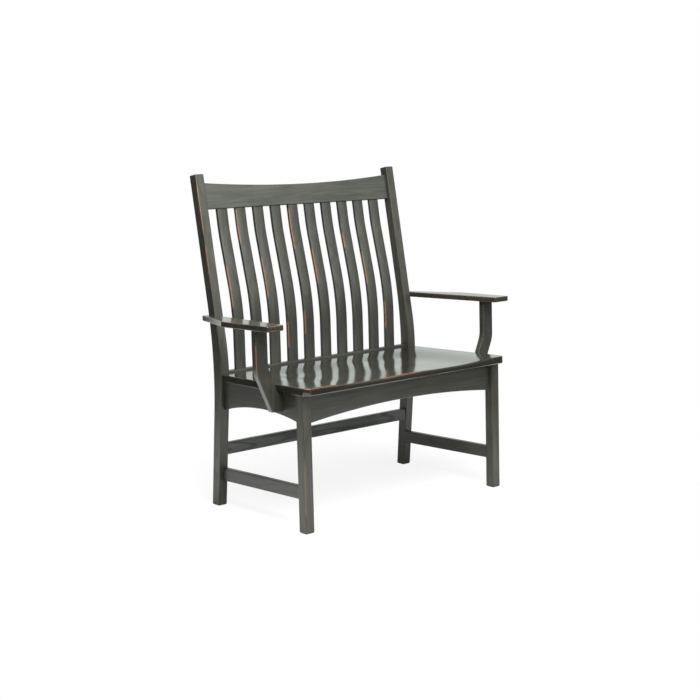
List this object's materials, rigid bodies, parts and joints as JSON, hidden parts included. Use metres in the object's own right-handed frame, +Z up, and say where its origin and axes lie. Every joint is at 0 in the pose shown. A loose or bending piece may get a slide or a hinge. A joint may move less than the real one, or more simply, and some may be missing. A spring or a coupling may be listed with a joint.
{
  "type": "deacons bench",
  "caption": "Deacons bench with a scooped solid seat, open arms on swept supports, a tall back of bent slats between leaning posts, and arched aprons.",
  "frame": {"origin": "centre of the bounding box's base, on the floor between the four feet", "axes": "+X across the bench to the sitter's left, which is the right seen from the front; +Y from the front towards the back; +Z up"},
  "size_m": [1.118, 0.6096, 1.1288],
  "materials": {
    "frame_oak": "satin black paint over open-grained oak, worn at the edges",
    "slat_oak": "satin black paint over oak, worn along the edges",
    "seat_oak": "glossy black paint over oak, rubbed through at the front edge",
    "arm_oak": "glossy black paint over oak",
    "block_wood": "thinly painted softwood",
    "plug_oak": "satin black paint over oak",
    "dowel_beech": "bare beech",
    "screw_steel": "plain steel"
  },
  "bodies": {
    "root": {"front_apron": "frame_oak", "back_rail": "frame_oak", "rear_stretcher": "frame_oak", "crest_rail": "frame_oak", "front_leg_left": "frame_oak", "front_leg_right": "frame_oak", "rear_post_left": "frame_oak", "rear_post_right": "frame_oak", "side_apron_left": "frame_oak", "side_apron_right": "frame_oak", "side_stretcher_left": "frame_oak", "side_stretcher_right": "frame_oak", "arm_support_left": "frame_oak", "arm_support_right": "frame_oak", "slat_01": "slat_oak", "slat_02": "slat_oak", "slat_03": "slat_oak", "slat_04": "slat_oak", "slat_05": "slat_oak", "slat_06": "slat_oak", "slat_07": "slat_oak", "slat_08": "slat_oak", "slat_09": "slat_oak", "slat_10": "slat_oak", "seat_board_1": "seat_oak", "seat_board_2": "seat_oak", "seat_board_3": "seat_oak", "seat_board_4": "seat_oak", "arm_left": "arm_oak", "arm_right": "arm_oak", "corner_block_front_left": "block_wood", "corner_block_front_right": "block_wood", "corner_block_rear_left": "block_wood", "corner_block_rear_right": "block_wood", "block_screws": "screw_steel", "seat_screws": "screw_steel", "support_screws": "screw_steel", "arm_screws": "screw_steel", "arm_screw_plugs": "plug_oak", "arm_dowels": "dowel_beech"}
  },
  "joints": []
}
